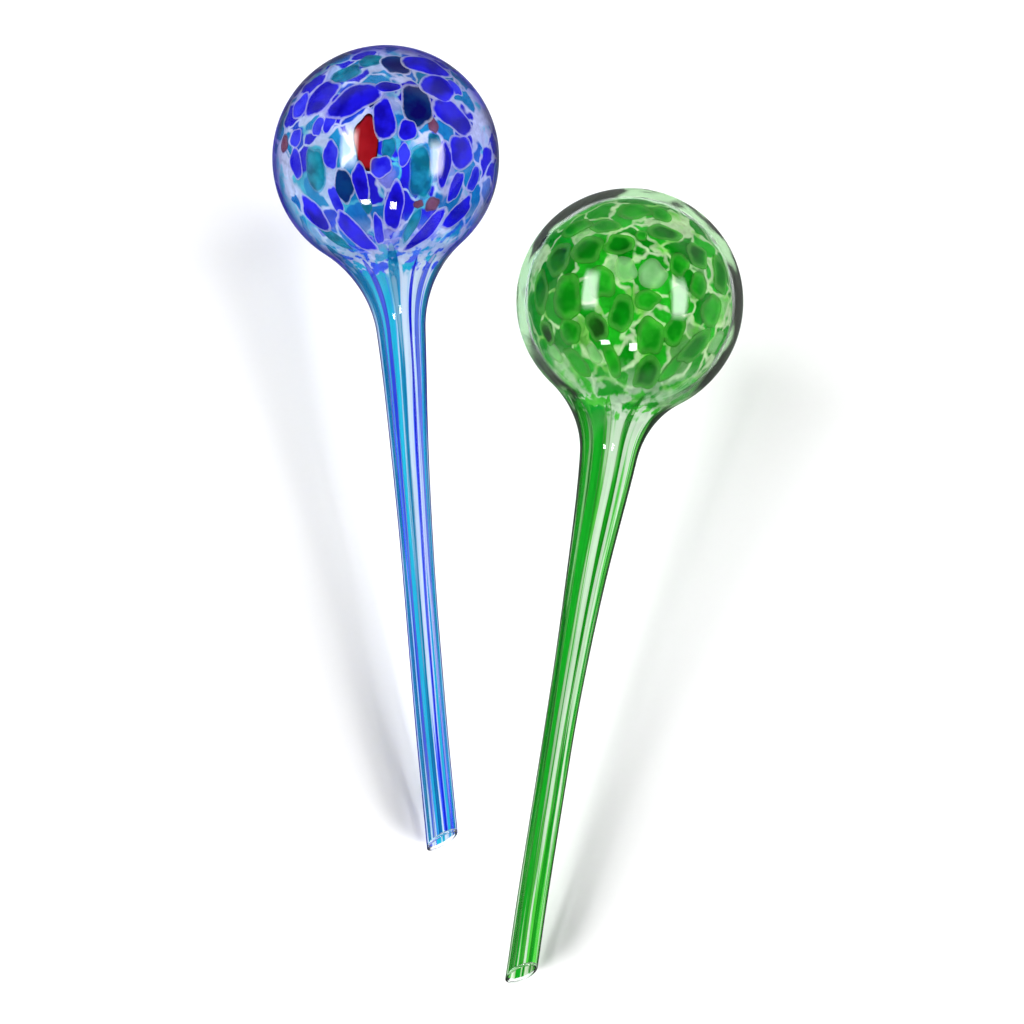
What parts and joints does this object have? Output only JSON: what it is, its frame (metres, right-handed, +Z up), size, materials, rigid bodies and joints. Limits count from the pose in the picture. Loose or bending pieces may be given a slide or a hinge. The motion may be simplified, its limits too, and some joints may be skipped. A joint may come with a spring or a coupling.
{
  "type": "watering globe",
  "caption": "Pair of blown-glass watering globes, blue and green: a hollow ball flecked with coloured chips on a long hollow streaked stem with a slanted, open mouth.",
  "frame": {"origin": "the surface that the pair lies on, under the middle of the pair's box", "axes": "+X to the right and +Y up the picture, from the mouths to the balls; +Z up from the surface, towards the picture's camera"},
  "size_m": [0.1658, 0.3314, 0.08],
  "materials": {
    "clear_glass": "clear, fire polished",
    "pale_lavender_glass": "milky, thin",
    "pale_green_glass": "milky, thin",
    "cobalt_glass": "deep and clear",
    "light_cobalt_glass": "clear",
    "navy_glass": "deep, nearly black",
    "teal_glass": "clear",
    "red_glass": "opaque",
    "mauve_glass": "smoky",
    "periwinkle_glass": "clear",
    "deep_green_glass": "deep and clear",
    "leaf_green_glass": "clear",
    "olive_glass": "deep"
  },
  "bodies": {
    "blue_globe": {"blue_ball_casing": "clear_glass", "blue_cobalt_chips": "cobalt_glass", "blue_cobalt_streaks": "cobalt_glass", "blue_inner_lining": "clear_glass", "blue_light_cobalt_chips": "light_cobalt_glass", "blue_mauve_chips": "mauve_glass", "blue_navy_chips": "navy_glass", "blue_pale_ground": "pale_lavender_glass", "blue_periwinkle_streaks": "periwinkle_glass", "blue_red_chips": "red_glass", "blue_stem_casing": "clear_glass", "blue_teal_chips": "teal_glass", "blue_teal_streaks": "teal_glass"},
    "green_globe": {"green_ball_casing": "clear_glass", "green_deep_chips": "deep_green_glass", "green_deep_streaks": "deep_green_glass", "green_inner_lining": "clear_glass", "green_leaf_chips": "leaf_green_glass", "green_leaf_streaks": "leaf_green_glass", "green_olive_chips": "olive_glass", "green_olive_streaks": "olive_glass", "green_pale_chips": "pale_green_glass", "green_pale_ground": "pale_green_glass", "green_stem_casing": "clear_glass"}
  },
  "joints": [
    {"name": "green_globe_lift", "type": "slide", "parent": "blue_globe", "child": "green_globe", "axis": [0, 0, 1], "range_m": [0, 0.15]}
  ]
}
